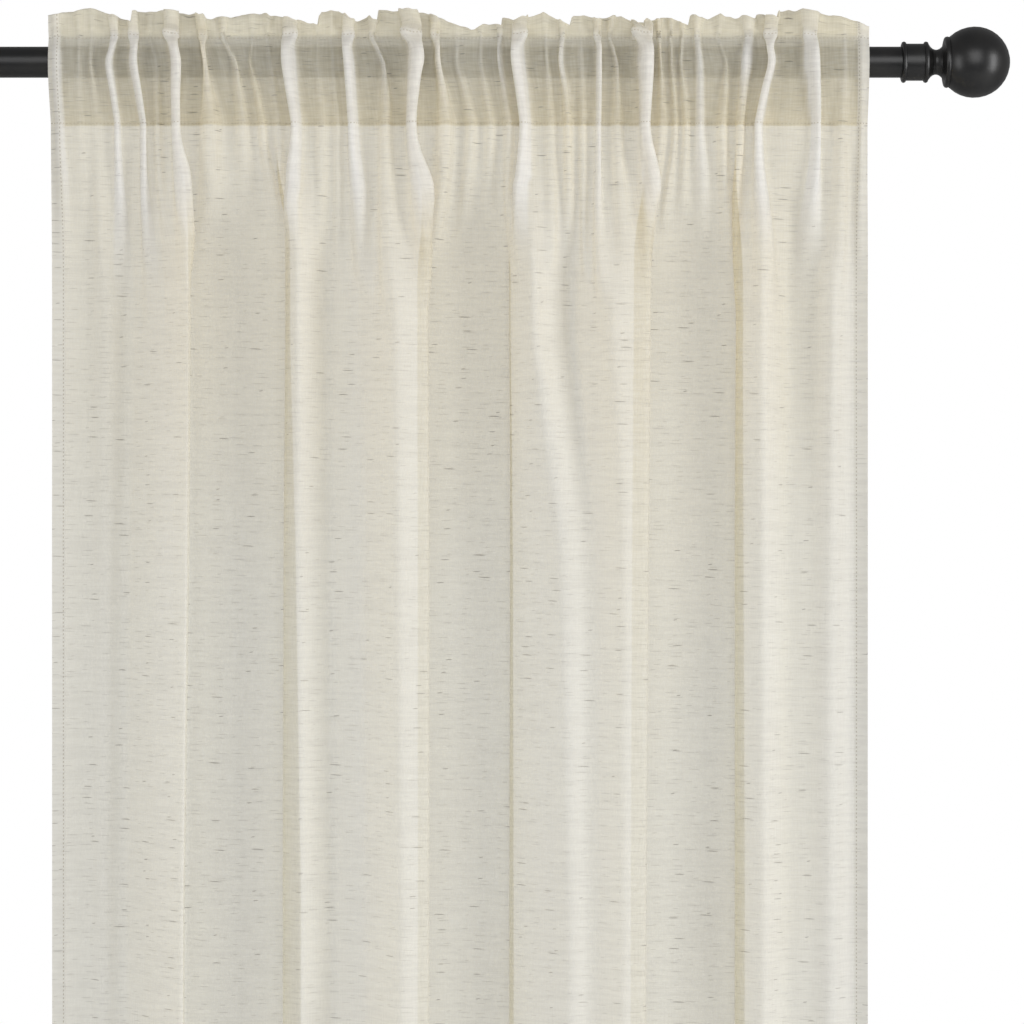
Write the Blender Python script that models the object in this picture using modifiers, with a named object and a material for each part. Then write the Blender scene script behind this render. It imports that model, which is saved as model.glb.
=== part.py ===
"""Sheer rod-pocket curtain gathered on a round rod with a ball finial at each end.

Metres, +Z up. The origin is on the rod's axis at the middle of its length, +X runs along the rod to the
right, and the curtain is seen from -Y. The curtain is one piece of cloth: it rises from the hem, stands up
as a ruffled header, folds over at the crest and runs down behind the rod to the seam that closes the pocket.
"""

import math
from collections import namedtuple

import bmesh
import bpy
import numpy as np

# Rod and finials
ROD_RADIUS = 0.0127
ROD_WALL = 0.0010
ROD_LENGTH = 0.7874
ROD_SIDES = 32
SPIGOT_RADIUS = 0.0122
SPIGOT_LENGTH = 0.0166
FIT = 0.0004
BEAD_RADIUS = 0.0170
BEAD_WIDTH = 0.0038
COLLAR_RADIUS = 0.0154
COLLAR_LENGTH = 0.0219
NECK_RADIUS = 0.0102
NECK_FLARE = 0.0048
NECK_END = 0.0349
DISC_RADIUS = 0.0211
DISC_WIDTH = 0.0050
BALL_RADIUS = 0.0292
BALL_CENTRE = 0.0600
FINIAL_SIDES = 32

# Cloth
CLOTH_WIDTH = 1.016
HUNG_WIDTH = 0.672
HUNG_LEFT = -0.322
HEM_HEIGHT = -2.097
SEAM_HEIGHT = -0.050
CLOTH = 0.0011
LAYER_GAP = 0.0018
FOLD_ROUNDING = 0.012
COLUMNS_PER_GATHER = 5
SAMPLES_PER_GATHER = 80

# The gathers that the rod draws up, from the left edge to the right. Sizes in millimetres: the gather's right
# edge along the rod, how full it is against the others, how far it runs down below the pocket before it has
# opened into the broad folds, and the header's top edge above the rod's axis.
Gather = namedtuple("Gather", "edge full run crest")
GATHERS = (
    Gather(26, 0.60, 110, 36.5),
    Gather(47, 0.80, 110, 38.5),
    Gather(64, 1.00, 180, 34.0),
    Gather(81, 1.20, 200, 38.5),
    Gather(97, 1.20, 170, 39.5),
    Gather(117, 1.20, 210, 38.5),
    Gather(137, 0.60, 110, 37.0),
    Gather(157, 0.50, 110, 34.5),
    Gather(182, 0.60, 160, 36.5),
    Gather(203, 1.20, 210, 36.0),
    Gather(222, 1.20, 180, 29.5),
    Gather(242, 0.90, 140, 36.5),
    Gather(264, 1.00, 140, 39.0),
    Gather(285, 1.20, 180, 39.5),
    Gather(305, 1.20, 200, 37.5),
    Gather(330, 0.60, 150, 35.0),
    Gather(356, 0.40, 100, 27.0),
    Gather(376, 0.80, 140, 29.0),
    Gather(397, 1.20, 210, 35.0),
    Gather(416, 1.10, 180, 38.0),
    Gather(440, 1.00, 130, 31.5),
    Gather(463, 1.20, 230, 35.0),
    Gather(485, 1.10, 150, 30.5),
    Gather(511, 0.70, 130, 34.5),
    Gather(535, 0.60, 140, 35.5),
    Gather(558, 0.80, 150, 36.5),
    Gather(580, 1.20, 200, 35.5),
    Gather(602, 1.10, 180, 33.0),
    Gather(626, 0.80, 120, 37.5),
    Gather(656, 0.75, 200, 36.5),
    Gather(672, 0.80, 130, 31.0),
)

# The broad folds below, as the turns of the cloth in plan from its left edge to its right edge. Sizes in
# millimetres: where each turn hangs from the cloth's left edge at the two heights and at the hem, and how far
# out towards the room it lies before the depth is set by the cloth's width. A place left of the one before it
# is cloth that runs back behind a fold.
FOLD_HEIGHTS = (-0.225, -0.690, HEM_HEIGHT)
Turn = namedtuple("Turn", "name upper middle hem out")
TURNS = (
    Turn("left_edge", 0, 0, 0, 8),
    Turn("left_band", 28, 28, 30, 2),
    Turn("left_ridge", 45, 43, 46, 9),
    Turn("left_valley", 60, 58, 62, 3),
    Turn("first_face", 95, 92, 90, 24),
    Turn("first_ridge", 112, 109, 106, 32),
    Turn("first_back", 106, 104, 102, 2),
    Turn("first_recess", 150, 150, 152, 5),
    Turn("second_back", 198, 208, 206, 3),
    Turn("second_edge", 192, 189, 190, 17),
    Turn("second_ridge", 205, 209, 208, 25),
    Turn("second_ripple", 232, 236, 234, 20),
    Turn("third_face", 262, 264, 262, 36),
    Turn("third_ridge", 297, 299, 297, 46),
    Turn("third_edge", 312, 312, 309, 36),
    Turn("third_back", 297, 297, 295, 6),
    Turn("third_recess", 338, 338, 340, 3),
    Turn("fourth_back", 378, 382, 382, 5),
    Turn("fourth_edge", 374, 373, 375, 16),
    Turn("fourth_ridge", 398, 396, 394, 29),
    Turn("fifth_back", 421, 419, 420, 14),
    Turn("fifth_edge", 414, 413, 414, 22),
    Turn("fifth_face", 448, 444, 446, 36),
    Turn("fifth_ridge", 478, 475, 474, 42),
    Turn("fifth_outer", 492, 489, 488, 34),
    Turn("fifth_low", 478, 476, 475, 6),
    Turn("fifth_recess", 520, 518, 520, 3),
    Turn("sixth_back", 568, 573, 570, 6),
    Turn("sixth_edge", 561, 560, 558, 16),
    Turn("sixth_ridge", 583, 586, 582, 27),
    Turn("sixth_valley", 606, 608, 606, 9),
    Turn("seventh_valley", 630, 630, 632, 10),
    Turn("seventh_ridge", 643, 644, 646, 19),
    Turn("right_valley", 658, 659, 658, 8),
    Turn("right_edge", 672, 672, 672, 13),
)

# The rows of the cloth, from the hem up to the crest and down again behind the rod. Sizes in millimetres: y and
# z place the row's valleys; without y the row hangs centred below the rod. Tilt is how much higher its ridges
# stand for each unit that they stand forward. Behind is the space to the front layer, in layer gaps.
Row = namedtuple("Row", "name y z tilt behind")
ROWS = (
    Row("hem", None, 1000 * HEM_HEIGHT, 0, 0),
    Row("middle", None, -690, 0, 0),
    Row("upper", None, -235, 0, 0),
    Row("opening", None, -160, 0, 0),
    Row("neck", None, -115, 0, 0),
    Row("below_seam", None, -80, 0, 0),
    Row("pocket_seam", None, 1000 * SEAM_HEIGHT, 0, 0),
    Row("pocket_low", -9.0, -24, 0, 0),
    Row("pocket_front", -15.3, -3, 0, 0),
    Row("top_seam", -11.5, 11, 0, 0),
    Row("crest", -10.7, 37, 0, 0),
    Row("crest_back", -10.7, 37, 0, 1.25),
    Row("layers_part", -11.2, 20.5, 0, 1),
    Row("rod_top_front", 1.8, 18.0, -0.02, 1),
    Row("rod_top", 14.2, 13.5, 0.12, 1),
    Row("rod_shoulder", 27.2, 5.8, 0.28, 1),
    Row("pocket_back", 32.0, -4, 0, 1),
    Row("pocket_back_low", 20.0, -28, 0, 1),
    Row("pocket_end", None, 1000 * SEAM_HEIGHT - 2, 0, 1),
)


def smooth(share):
    share = np.clip(share, 0, 1)
    return share * share * (3 - 2 * share)


def running(values):
    """Running total that starts from nought."""
    return np.concatenate(([0.0], np.cumsum(values)))


def middles(edges):
    return (edges[1:] + edges[:-1]) / 2


def swing(ratio):
    """How far a wave of cloth swings to each side, where its width is this ratio of its length."""
    return np.sqrt(8 * (1 - np.sqrt(np.clip(ratio, 0.5, 1))))


def column(table, name):
    return np.array([getattr(row, name) for row in table], dtype=float)


# Distances along the cloth are measured from its left edge, as cut. The gathers share out the cloth's fullness.
GATHER_EDGES = np.append(0, column(GATHERS, "edge")) / 1000
GATHER_WIDTHS = np.diff(GATHER_EDGES)
FULLNESS = (CLOTH_WIDTH - HUNG_WIDTH) / (GATHER_WIDTHS * column(GATHERS, "full")).sum()
GATHER_CLOTH = running(GATHER_WIDTHS * (1 + FULLNESS * column(GATHERS, "full")))
PHASE = np.linspace(0, len(GATHERS), len(GATHERS) * SAMPLES_PER_GATHER + 1)
ALONG = np.interp(PHASE, np.arange(len(GATHERS) + 1), GATHER_CLOTH)


def distances(points):
    """Distance along a row of points, from its start."""
    return running(np.linalg.norm(np.diff(points, axis=0), axis=1))


def resampled(points, places):
    """The points of a line at places along it."""
    walked = distances(points)
    return np.column_stack([np.interp(places, walked, axis) for axis in points.T])


def rounded(points):
    """A line of turns with its corners rounded off."""
    count = 1400
    length = distances(points)[-1]
    line = resampled(points, np.linspace(0, length, count))
    reach = round(FOLD_ROUNDING / length * count)
    window = np.hanning(2 * reach + 1)
    before = 2 * line[0] - line[reach:0:-1]
    after = 2 * line[-1] - line[-2 : -reach - 2 : -1]
    padded = np.vstack((before, line, after))
    return np.column_stack([np.convolve(axis, window / window.sum(), "valid") for axis in padded.T])


def folds(z):
    """The broad folds in plan at height z, just as deep as uses up the cloth's width."""
    heights = [-height for height in FOLD_HEIGHTS]
    places = np.array([np.interp(-z, heights, [t.upper, t.middle, t.hem]) for t in TURNS]) / 1000
    shallow, deep = 0.5, 3.0
    for _ in range(24):
        depth = (shallow + deep) / 2
        line = rounded(np.column_stack((places, depth * column(TURNS, "out") / 1000)))
        if distances(line)[-1] < CLOTH_WIDTH:
            shallow = depth
        else:
            deep = depth
    return resampled(line, ALONG)


def section(row):
    """One row of the cloth as points.

    The folds fade into a straight line up at the pocket. Gathers are laid on that as swings of the cloth's
    direction, wide enough to use up what the fading folds leave over, so that no row stretches the cloth.
    """
    z = row.z / 1000
    run = np.interp(ALONG, middles(GATHER_CLOTH), column(GATHERS, "run")) / 1000
    opened = smooth((SEAM_HEIGHT - z) / run)[:, None]
    straight = np.column_stack((np.interp(ALONG, GATHER_CLOTH, GATHER_EDGES), np.zeros_like(ALONG)))
    base = opened * folds(z) + (1 - opened) * straight
    pace = np.gradient(base, ALONG, axis=0)
    ratio = np.linalg.norm(pace, axis=1)
    direction = np.unwrap(np.arctan2(pace[:, 1], pace[:, 0]))
    direction += swing(ratio) * np.cos(direction / 2) ** 2 * np.sin(2 * math.pi * PHASE)
    turns = middles(direction)
    steps = np.diff(ALONG)
    line = np.column_stack((running(np.cos(turns) * steps), running(np.sin(turns) * steps)))
    edges = slice(None, None, SAMPLES_PER_GATHER)
    for axis in range(2):
        line[:, axis] += np.interp(ALONG, GATHER_CLOTH, (base - line)[edges, axis])
    return place(row, *line.T, direction)[:: SAMPLES_PER_GATHER // COLUMNS_PER_GATHER]


def place(row, across, out, direction):
    """Stand a row's waves up in space, the back layer nested behind the front one."""
    gap = LAYER_GAP * row.behind
    x = HUNG_LEFT + across + gap * np.sin(direction)
    valley = out.mean() if row.y is None else row.y / 1000
    y = valley - out + gap * np.cos(direction)
    z = row.z / 1000 + row.tilt * out
    if row.name.startswith("crest"):
        turns = np.linspace(-0.5, len(GATHERS) - 0.5, len(x))
        z = np.interp(turns, np.arange(len(GATHERS)), column(GATHERS, "crest")) / 1000
    return np.column_stack((x, y, z))


def material(name, colour, roughness, metallic):
    made = bpy.data.materials.new(name)
    made.use_nodes = True
    shader = made.node_tree.nodes["Principled BSDF"]
    shader.inputs["Base Color"].default_value = (*colour, 1)
    shader.inputs["Roughness"].default_value = roughness
    shader.inputs["Metallic"].default_value = metallic
    return made


def add(name, shape, finish, collection):
    """Turn a bmesh into a named object with a finish."""
    mesh = bpy.data.meshes.new(name)
    shape.to_mesh(mesh)
    shape.free()
    mesh.shade_smooth()
    mesh.materials.append(finish)
    made = bpy.data.objects.new(name, mesh)
    collection.objects.link(made)
    return made


def make_curtain(collection, finish):
    points = [section(row) for row in ROWS]
    cloth = bmesh.new()
    grid = [[cloth.verts.new(point) for point in row] for row in points]
    for lower, upper in zip(grid, grid[1:]):
        for a, b, c, d in zip(lower, lower[1:], upper[1:], upper):
            cloth.faces.new((a, b, c, d))
    curtain = add("curtain", cloth, finish, collection)
    thickness = curtain.modifiers.new("cloth", "SOLIDIFY")
    thickness.thickness = CLOTH
    thickness.offset = 0
    return curtain


def turned(name, profile, sides, finish, collection):
    """A shape turned about its own Z from a profile of (height, radius) points."""
    outline = bmesh.new()
    points = [outline.verts.new((radius, 0, height)) for height, radius in profile]
    for a, b in zip(points, points[1:]):
        outline.edges.new((a, b))
    shape = add(name, outline, finish, collection)
    turn = shape.modifiers.new("turn", "SCREW")
    turn.axis = "Z"
    turn.steps = sides
    turn.render_steps = sides
    turn.use_merge_vertices = True
    turn.merge_threshold = 0.00002
    turn.use_smooth_shade = True
    return shape


def make_rod(collection, finish):
    """A tube drawn in at both ends into spigots for the finials, with a flat side turned down to rest on."""
    shoulder = ROD_LENGTH / 2 - SPIGOT_LENGTH
    profile = [
        (ROD_LENGTH / 2, SPIGOT_RADIUS),
        (shoulder, SPIGOT_RADIUS),
        (shoulder, ROD_RADIUS),
        (-shoulder, ROD_RADIUS),
        (-shoulder, SPIGOT_RADIUS),
        (-ROD_LENGTH / 2, SPIGOT_RADIUS),
    ]
    rod = turned("rod", profile, ROD_SIDES, finish, collection)
    rod.rotation_mode = "ZYX"
    rod.rotation_euler = (0, math.pi / 2, math.pi / ROD_SIDES)
    wall = rod.modifiers.new("wall", "SOLIDIFY")
    wall.thickness = ROD_WALL
    wall.offset = -1
    return rod


def arc(centre, radius, start, end, steps):
    """Points (along the axis, radius) on an arc. Angles in degrees, nought straight out from the axis."""
    angles = np.radians(np.linspace(start, end, steps + 1))
    return [(centre[0] + radius * math.sin(a), centre[1] + radius * math.cos(a)) for a in angles]


def ring(start, width, radius, end=90, steps=4):
    """A rounded ring around the finial, as wide as given."""
    return arc((start + width / 2, radius - width / 2), width / 2, -90, end, steps)


def finial_profile():
    """The finial's outline, from its socket's bottom out over collar, neck and disc to the ball's end."""
    bore = SPIGOT_RADIUS + FIT
    neck = [
        (COLLAR_LENGTH + (NECK_END - COLLAR_LENGTH) * (0.5 + 0.5 * s), NECK_RADIUS + NECK_FLARE * abs(s) ** 2.2)
        for s in np.linspace(-1, 1, 8)
    ]
    meeting = math.degrees(math.asin((BALL_CENTRE - NECK_END - DISC_WIDTH) / BALL_RADIUS))
    outline = [(SPIGOT_LENGTH, 0), (SPIGOT_LENGTH, bore), (0, bore)]
    outline += ring(0, BEAD_WIDTH, BEAD_RADIUS)
    outline += [(BEAD_WIDTH, COLLAR_RADIUS - 0.0002), (COLLAR_LENGTH - BEAD_WIDTH, COLLAR_RADIUS - 0.0002)]
    outline += ring(COLLAR_LENGTH - BEAD_WIDTH, BEAD_WIDTH, BEAD_RADIUS)
    outline += neck
    outline += ring(NECK_END, DISC_WIDTH, DISC_RADIUS, end=40)
    outline += arc((BALL_CENTRE, 0), BALL_RADIUS, 1 - meeting, 90, 13)
    return outline


def make_finial(name, side, collection, finish):
    """A turned finial whose collar slips over the rod's spigot. Side is 1 at the right and -1 at the left."""
    profile = [(-along, radius) for along, radius in finial_profile()]
    finial = turned(name, profile, FINIAL_SIDES, finish, collection)
    finial.location = (side * (ROD_LENGTH / 2 + FIT - SPIGOT_LENGTH), 0, 0)
    finial.rotation_euler = (0, -side * math.pi / 2, 0)
    return finial


def main():
    for old in list(bpy.data.objects):
        bpy.data.objects.remove(old)
    parts = bpy.data.collections.new("sheer_curtain")
    bpy.context.scene.collection.children.link(parts)
    voile = material("voile", (0.66, 0.62, 0.50), 0.85, 0.0)
    black = material("black_steel", (0.012, 0.012, 0.013), 0.38, 0.6)
    make_curtain(parts, voile)
    make_rod(parts, black)
    make_finial("finial_right", 1, parts, black)
    make_finial("finial_left", -1, parts, black)


main()
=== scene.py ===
"""Looks of the sheer curtain: linen-look voile gathered on a black rod with ball finials.

Metres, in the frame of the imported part: the rod lies along X through the origin and the room is at -Y.
"""

import math
from collections import namedtuple

import bmesh
import bpy
import numpy as np
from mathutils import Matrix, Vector


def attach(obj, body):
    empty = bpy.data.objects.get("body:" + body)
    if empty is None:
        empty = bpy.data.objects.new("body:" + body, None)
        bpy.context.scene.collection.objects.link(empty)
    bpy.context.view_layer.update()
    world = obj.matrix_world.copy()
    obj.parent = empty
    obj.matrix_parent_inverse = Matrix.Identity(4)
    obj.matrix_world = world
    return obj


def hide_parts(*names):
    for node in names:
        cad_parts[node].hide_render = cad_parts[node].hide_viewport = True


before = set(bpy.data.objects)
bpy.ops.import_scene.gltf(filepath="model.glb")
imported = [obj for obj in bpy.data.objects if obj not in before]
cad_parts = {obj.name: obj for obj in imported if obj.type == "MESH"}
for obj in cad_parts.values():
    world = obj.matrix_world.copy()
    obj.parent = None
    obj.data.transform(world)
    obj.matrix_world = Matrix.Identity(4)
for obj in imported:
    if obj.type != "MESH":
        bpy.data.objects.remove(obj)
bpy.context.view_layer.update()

# The cloth as finished: its width, how wide it hangs and from where, and the heights of the hem and the two
# seams
CLOTH_WIDTH = 1.016
HUNG_WIDTH = 0.672
HUNG_LEFT = -0.322
HEM_HEIGHT = -2.097
SEAM_HEIGHT = -0.050
TOP_SEAM = 0.0185
SIDE_HEM = 0.011
BOTTOM_HEM = 0.076

# The space between two layers, and how near the cloth may come to the rod's axis
LAYER_GAP = 0.0013
ROD_REACH = 0.0138

# The mesh has this many columns, picked from a finer line with this many points for each gather
COLUMNS = 640
SAMPLES_PER_GATHER = 80

# The gathers that the rod draws up, from the left edge to the right. Sizes in millimetres: how far the
# gather's ridge stands from the cloth's left edge at the top seam, on the rod and at the pocket's lower
# seam, how much cloth it takes up beyond its width, how wide its ridge is on the rod and at the lower seam
# (0 where it has faded by then), and how far it runs down before it has opened into the broad folds. Lean
# is the left side's share of the ridge: above a half the ridge folds over to the right, with a crisp right
# edge.
Gather = namedtuple("Gather", "top rod low extra wide below run lean")
GATHERS = (
    Gather(6.5, 6.0, 7.0, 4, 13, 13, 170, 0.55),
    Gather(25, 25, 25, 0.5, 5, 0, 60, 0.50),
    Gather(35, 35, 37, 0.5, 5, 0, 60, 0.50),
    Gather(54, 50, 55, 8, 11, 9, 230, 0.50),
    Gather(69, 69, 75, 11, 12, 9, 240, 0.60),
    Gather(83, 89, 90, 1, 4, 0, 70, 0.65),
    Gather(99, 100, 98, 30, 13, 11, 200, 0.62),
    Gather(127, 130, 134, 13, 4, 0, 70, 0.45),
    Gather(142, 152, 160, 4, 5, 0, 80, 0.68),
    Gather(167, 165, 175, 1, 3, 0, 60, 0.55),
    Gather(179, 182, 186, 1, 4, 0, 60, 0.60),
    Gather(199, 199, 205, 20, 19, 13, 210, 0.38),
    Gather(220, 220, 225, 0.5, 3, 0, 60, 0.50),
    Gather(231, 233, 236, 0.5, 4, 0, 60, 0.60),
    Gather(246, 246, 248, 12, 15, 15, 200, 0.42),
    Gather(264, 273, 280, 8, 5, 0, 130, 0.68),
    Gather(296, 296, 292, 38, 19, 11, 200, 0.62),
    Gather(316, 317, 330, 12, 6, 0, 130, 0.60),
    Gather(334, 334, 346, 0.5, 5, 0, 60, 0.50),
    Gather(354, 354, 362, 1, 5, 0, 60, 0.50),
    Gather(370, 371, 376, 6, 7, 0, 120, 0.35),
    Gather(387, 388, 394, 24, 17, 14, 210, 0.36),
    Gather(407, 408, 412, 1, 5, 0, 60, 0.50),
    Gather(421, 421, 426, 7, 6, 0, 140, 0.32),
    Gather(436, 436, 438, 0.5, 5, 0, 80, 0.50),
    Gather(449, 449, 449, 12, 7, 7, 200, 0.62),
    Gather(459, 464, 466, 6, 4, 0, 140, 0.66),
    Gather(485, 484, 484, 38, 19, 11, 200, 0.64),
    Gather(500, 501, 505, 4, 4, 0, 70, 0.50),
    Gather(509, 509, 514, 3, 4, 0, 70, 0.62),
    Gather(519, 518, 522, 3, 4, 0, 60, 0.40),
    Gather(531, 533, 534, 3, 9, 12, 140, 0.50),
    Gather(548, 554, 554, 1, 4, 0, 60, 0.62),
    Gather(574, 572, 566, 5, 15, 0, 160, 0.40),
    Gather(591, 593, 583, 18, 11, 13, 210, 0.45),
    Gather(622, 622, 628, 9, 20, 12, 200, 0.66),
    Gather(652, 652, 653, 0.5, 6, 0, 70, 0.60),
    Gather(666, 666, 667, 1.5, 9, 6, 140, 0.50),
)

# A ridge is drawn together to no less than TIGHTEST of its length, and its sides turn by no more than
# STEEPEST radians. No more than MOST_FLAT of a gather is flat, and at least LEAST_SIDE of that lies on
# either side of the ridge; the others keep a narrow gather, or one whose cloth is folded back, from a
# division by nought. Where a ridge has faded it keeps a swell as wide as NARROWEST millimetres, with FADED
# of its shape.
TIGHTEST = 0.28
STEEPEST = 2.3
MOST_FLAT = 0.9
LEAST_SIDE = 0.05
LEAST_ROOM = 0.0001
LEAST_RATIO = 0.05
NARROWEST = 4
FADED = 0.1

# A ridge opens over this share of its run, and grows wider by this share as it does. The runs are evened
# out over this many neighbours.
OPEN_SHARE = 0.8
OPEN_WIDER = 1.5
RUN_BLUR = 5

# Painted highlight on the ridges: ridges at least this wide, with at least so much extra cloth, get all of
# it;
# a thin one has a share of that. Rise is how soon a ridge or a crest has its full painted highlight, from its
# foot up, and a crest gets CREST_SHARE of it.
HIGHLIGHT_WIDTH = 9
HIGHLIGHT_EXTRA = 12
HIGHLIGHT_LEAST = 0.35
RIDGE_RISE = 1.1
CREST_RISE = 1.35
CREST_SHARE = 0.36

# The scallops of the header's top edge, from the left edge to the right. Sizes in millimetres: the
# scallop's right end, and the edge's height above the rod's axis at its left end, its middle and its right
# end.
Scallop = namedtuple("Scallop", "end left middle right")
SCALLOPS = (
    Scallop(69, 35.6, 40.9, 30.7),
    Scallop(129, 38.9, 38.5, 35.5),
    Scallop(222, 33.1, 37.2, 28.2),
    Scallop(253, 38.0, 38.9, 31.5),
    Scallop(271, 31.5, 34.8, 31.5),
    Scallop(345, 39.7, 37.2, 26.6),
    Scallop(372, 24.4, 29.5, 28.2),
    Scallop(382, 33.9, 33.0, 30.7),
    Scallop(428, 31.0, 38.2, 28.2),
    Scallop(449, 35.6, 35.0, 33.1),
    Scallop(488, 33.1, 35.2, 24.9),
    Scallop(525, 31.5, 34.0, 28.2),
    Scallop(540, 36.4, 35.0, 33.1),
    Scallop(561, 33.1, 37.2, 33.1),
    Scallop(580, 33.1, 35.6, 33.1),
    Scallop(598, 36.4, 35.0, 33.1),
    Scallop(641, 38.5, 39.2, 34.8),
    Scallop(672, 34.8, 32.5, 28.2),
)

# Half the width of the step from one scallop to the next
SCALLOP_STEP = 0.4

# The broad folds below, as the turns of the cloth in plan from its left edge to its right edge. Sizes in
# millimetres: where each turn hangs from the cloth's left edge at four heights, and how far out towards the
# room it lies at the first of them and from the second down, before the depth is set by the cloth's width.
# A place left of the one before it is cloth that runs back behind a fold. Crest is how much painted
# highlight the turn gets, as a pale ridge.
FOLD_HEIGHTS = (-0.225, -0.400, -0.690, HEM_HEIGHT)
Turn = namedtuple("Turn", "name upper low middle hem out_upper out crest")
TURNS = (
    Turn("left_edge", 0, 0, 0, 0, 8, 8, 0.4),
    Turn("left_band", 28, 28, 28, 30, 2, 2, 0.0),
    Turn("left_ridge", 45, 44, 43, 46, 9, 8, 0.3),
    Turn("left_valley", 62, 60, 58, 62, 3, 3, 0.0),
    Turn("first_face", 94, 90, 89, 89, 18, 22, 0.55),
    Turn("first_ridge", 118, 117, 113, 110, 32, 32, 1.0),
    Turn("first_back", 111, 110, 107, 104, 2, 2, 0.0),
    Turn("first_recess", 150, 150, 150, 152, 5, 5, 0.0),
    Turn("second_back", 198, 203, 208, 206, 3, 3, 0.0),
    Turn("second_edge", 192, 190, 189, 190, 17, 17, 0.2),
    Turn("second_ridge", 204, 205, 207, 207, 28, 27, 1.0),
    Turn("second_ripple", 226, 230, 232, 232, 15, 17, 0.0),
    Turn("third_face", 254, 257, 259, 258, 22, 24, 0.6),
    Turn("third_ridge", 285, 287, 289, 287, 44, 44, 1.0),
    Turn("third_edge", 313, 314, 314, 311, 40, 40, 1.0),
    Turn("third_back", 300, 300, 300, 298, 6, 6, 0.0),
    Turn("third_recess", 338, 338, 338, 340, 3, 3, 0.0),
    Turn("fourth_back", 380, 383, 384, 384, 5, 5, 0.0),
    Turn("fourth_edge", 376, 376, 375, 376, 14, 12, 0.1),
    Turn("fourth_ridge", 397, 420, 427, 425, 32, 35, 1.0),
    Turn("fifth_valley", 429, 445, 447, 446, 15, 31, 0.45),
    Turn("fifth_ridge", 460, 471, 470, 470, 38, 41, 1.0),
    Turn("fifth_outer", 494, 492, 490, 489, 37, 38, 1.0),
    Turn("fifth_low", 478, 477, 476, 475, 6, 6, 0.0),
    Turn("fifth_recess", 520, 519, 518, 520, 3, 3, 0.0),
    Turn("sixth_back", 573, 574, 575, 572, 6, 6, 0.0),
    Turn("sixth_edge", 561, 560, 560, 558, 16, 14, 0.0),
    Turn("sixth_ridge", 585, 586, 587, 583, 28, 25, 1.0),
    Turn("sixth_valley", 606, 607, 608, 606, 9, 13, 0.1),
    Turn("seventh_valley", 628, 627, 626, 630, 10, 13, 0.1),
    Turn("seventh_ridge", 643, 642, 642, 645, 21, 19, 0.9),
    Turn("right_valley", 658, 658, 658, 658, 12, 11, 0.8),
    Turn("right_edge", 672, 672, 672, 672, 14, 14, 0.9),
)

# The folds' corners are rounded over this length, on a line of this many points; the depth is found by
# halving the stretch between these shares of the table's so many times.
FOLD_ROUNDING = 0.012
FOLD_POINTS = 1400
DEPTH_SHARES = (0.5, 3.0)
DEPTH_HALVINGS = 24

# The rows of the cloth in its pocket and header, from the pocket's lower seam up to the crest and down
# again behind the rod. Sizes in millimetres, y and z for the row's valleys; the rows without y hang centred
# below the rod. Tilt is how much higher its ridges stand for each unit that they stand forward, and behind
# is the space to the front layer in layer gaps. Place is where the gathers stand: 0 as at the top seam, 1
# as on the rod and 2 as at the lower seam. Pinch is how far the ridges keep their shape, wide their width
# against the table's, split shares each ridge out over two, and deep is how far they stand out against the
# free cloth's. Pale is how much of the painted highlight the ridges get and puff how far the header puffs
# out. Steps is how many rows of the mesh lead on to the next.
Row = namedtuple("Row", "name y z tilt behind place pinch wide split deep pale puff steps")
ROWS = (
    Row("pocket_seam", None, 1000 * SEAM_HEIGHT, 0, 0, 2.0, 1.0, 1.00, 0.00, 1.00, 1.0, 0.0, 8),
    Row("pocket_low", -9.0, -24, 0, 0, 1.5, 1.0, 1.00, 0.00, 1.00, 1.0, 0.0, 6),
    Row("pocket_front", -14.4, -3, 0, 0, 1.0, 1.0, 1.00, 0.00, 1.00, 1.0, 0.0, 5),
    Row("rod_high", -12.8, 10, 0.08, 0, 0.4, 1.0, 0.90, 0.00, 0.95, 1.0, 0.0, 4),
    Row("top_seam", -9.4, 1000 * TOP_SEAM, 0.45, 0, 0.0, 1.0, 0.65, 0.45, 0.62, 0.7, 0.0, 3),
    Row("header", -11.0, 25, 0.25, 0, 0.0, 0.8, 0.70, 0.20, 0.85, 0.5, 0.5, 4),
    Row("crest", -11.4, 37, 0, 0, 0.0, 0.5, 1.20, 0.10, 1.00, 0.5, 1.0, 3),
    Row("crest_back", -11.4, 37, 0, 1.3, 0.0, 0.5, 1.20, 0.10, 1.00, 0.5, 1.0, 4),
    Row("header_back", -11.0, 25, 0.25, 1, 0.0, 0.8, 0.70, 0.20, 0.85, 0.5, 0.5, 3),
    Row("layers_part", -9.6, 20, 0.43, 1, 0.0, 0.9, 0.70, 0.40, 0.62, 0.7, 0.0, 3),
    Row("rod_top_front", 1.8, 17.6, -0.02, 1, 0.1, 0.7, 1.00, 0.20, 0.80, 1.0, 0.0, 3),
    Row("rod_top", 14.2, 13.5, 0.12, 1, 0.3, 0.4, 1.00, 0.10, 1.00, 1.0, 0.0, 3),
    Row("rod_shoulder", 27.2, 5.8, 0.28, 1, 0.6, 0.3, 1.00, 0.00, 1.00, 1.0, 0.0, 3),
    Row("pocket_back", 32.0, -4, 0, 1, 1.0, 0.3, 1.00, 0.00, 1.00, 1.0, 0.0, 5),
    Row("pocket_back_low", 20.0, -28, 0, 1, 1.5, 0.6, 1.00, 0.00, 1.00, 1.0, 0.0, 5),
    Row("pocket_end", None, 1000 * SEAM_HEIGHT - 2, 0, 1, 2.0, 1.0, 1.00, 0.00, 1.00, 1.0, 0.0, 1),
)

# Rows of the mesh below the pocket: how many lead down to each height
Stretch = namedtuple("Stretch", "bottom rows")
STRETCHES = (
    Stretch(-0.120, 14),
    Stretch(-0.260, 20),
    Stretch(-0.700, 26),
    Stretch(HEM_HEIGHT, 30),
)

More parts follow.
